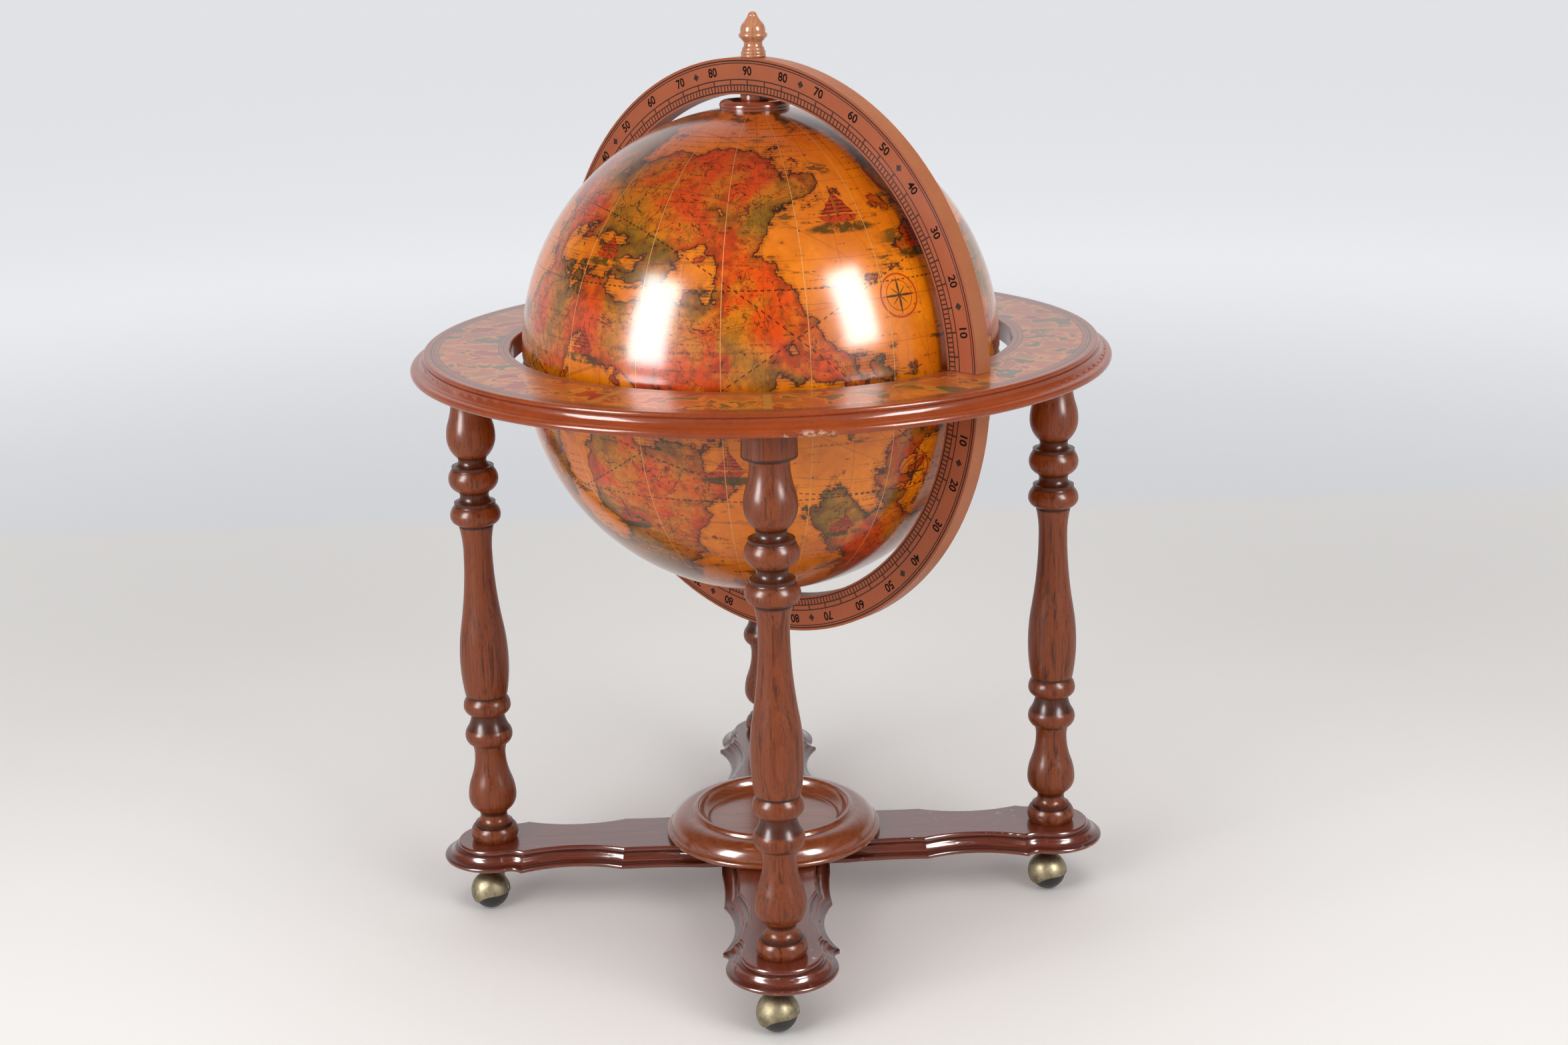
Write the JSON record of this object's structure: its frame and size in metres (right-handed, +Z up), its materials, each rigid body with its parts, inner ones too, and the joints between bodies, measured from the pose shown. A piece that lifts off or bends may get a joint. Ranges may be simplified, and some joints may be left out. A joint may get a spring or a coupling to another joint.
{
  "type": "floor globe bar",
  "caption": "Floor-standing globe bar: globe whose upper half hinges open over a bottle deck, in a round horizon ring on turned legs with moulded cross planks, bottle dish and ball casters.",
  "frame": {"origin": "on the floor under the middle of the globe", "axes": "+Z up, -Y towards the viewer of the picture, legs on the X and Y axes"},
  "size_m": [0.7325, 0.7325, 0.966],
  "materials": {
    "globe_print": "printed map gores under glossy varnish",
    "inner_wood": "satin stained",
    "well_black": "fine matt",
    "cap_wood": "gloss varnish over dark stain",
    "leg_beech": "stained beech, satin gloss varnish",
    "plank_wood": "red brown stain, gloss varnish",
    "dish_wood": "orange brown stain, gloss varnish",
    "meridian_wood": "printed scale on the faces, satin",
    "ring_wood": "printed top, gloss moulded edge",
    "finial_wood": "turned, satin varnish",
    "hinge_brass": "satin",
    "steel": "zinc plated",
    "caster_brass": "antique, worn",
    "ball_grey": "dark grey, semi gloss"
  },
  "bodies": {
    "frame": {"horizon_ring": "ring_wood", "leg_front": "leg_beech", "leg_right": "leg_beech", "leg_back": "leg_beech", "leg_left": "leg_beech", "cross_plank_side": "plank_wood", "cross_plank_front": "plank_wood", "bottle_dish": "dish_wood", "dish_bolt": "steel", "lower_meridian": "meridian_wood", "meridian_screws": "hinge_brass", "south_pivot": "steel", "south_nut": "steel", "south_spacer": "finial_wood", "hinge_leaf_fixed": "hinge_brass", "hinge_pin": "hinge_brass", "hinge_screws_fixed": "hinge_brass", "caster_sockets": "steel"},
    "lid": {"upper_meridian": "meridian_wood", "finial": "finial_wood", "north_pivot": "steel", "north_nut": "steel", "north_spacer": "finial_wood", "hinge_leaf_lid": "hinge_brass", "hinge_screws_lid": "hinge_brass"},
    "upper_globe": {"upper_shell": "globe_print", "upper_rim": "inner_wood", "upper_hub": "inner_wood", "pole_cap": "cap_wood"},
    "lower_globe": {"lower_shell": "globe_print", "lower_rim": "inner_wood", "lower_hub": "inner_wood", "south_cap": "cap_wood", "bar_deck": "inner_wood", "bottle_well": "well_black"},
    "caster_front": {"caster_hood_front": "caster_brass", "caster_stem_front": "steel", "caster_axle_front": "steel"},
    "ball_front": {"caster_ball_front": "ball_grey"},
    "caster_right": {"caster_hood_right": "caster_brass", "caster_stem_right": "steel", "caster_axle_right": "steel"},
    "ball_right": {"caster_ball_right": "ball_grey"},
    "caster_back": {"caster_hood_back": "caster_brass", "caster_stem_back": "steel", "caster_axle_back": "steel"},
    "ball_back": {"caster_ball_back": "ball_grey"},
    "caster_left": {"caster_hood_left": "caster_brass", "caster_stem_left": "steel", "caster_axle_left": "steel"},
    "ball_left": {"caster_ball_left": "ball_grey"}
  },
  "joints": [
    {"name": "lid_hinge", "type": "hinge", "parent": "frame", "child": "lid", "pos_m": [-0.21234, 0.21234, 0.6343], "axis": [-0.7071, -0.7071, 0], "range_deg": [0, 95]},
    {"name": "upper_globe_spin", "type": "hinge", "parent": "lid", "child": "upper_globe", "pos_m": [0, 0, 0.86], "axis": [0, 0, 1], "continuous": true},
    {"name": "lower_globe_spin", "type": "hinge", "parent": "frame", "child": "lower_globe", "pos_m": [0, 0, 0.37], "axis": [0, 0, 1], "continuous": true},
    {"name": "swivel_front", "type": "hinge", "parent": "frame", "child": "caster_front", "pos_m": [0, -0.31, 0.05], "axis": [0, 0, 1], "continuous": true},
    {"name": "roll_front", "type": "hinge", "parent": "caster_front", "child": "ball_front", "pos_m": [-0.00606, -0.33115, 0.02], "axis": [0.9403, -0.2696, 0.2079], "continuous": true},
    {"name": "swivel_right", "type": "hinge", "parent": "frame", "child": "caster_right", "pos_m": [0.31, 0, 0.05], "axis": [0, 0, 1], "continuous": true},
    {"name": "roll_right", "type": "hinge", "parent": "caster_right", "child": "ball_right", "pos_m": [0.30394, -0.02115, 0.02], "axis": [0.9403, -0.2696, 0.2079], "continuous": true},
    {"name": "swivel_back", "type": "hinge", "parent": "frame", "child": "caster_back", "pos_m": [0, 0.31, 0.05], "axis": [0, 0, 1], "continuous": true},
    {"name": "roll_back", "type": "hinge", "parent": "caster_back", "child": "ball_back", "pos_m": [-0.00606, 0.28885, 0.02], "axis": [0.9403, -0.2696, 0.2079], "continuous": true},
    {"name": "swivel_left", "type": "hinge", "parent": "frame", "child": "caster_left", "pos_m": [-0.31, 0, 0.05], "axis": [0, 0, 1], "continuous": true},
    {"name": "roll_left", "type": "hinge", "parent": "caster_left", "child": "ball_left", "pos_m": [-0.31606, -0.02115, 0.02], "axis": [0.9403, -0.2696, 0.2079], "continuous": true}
  ]
}
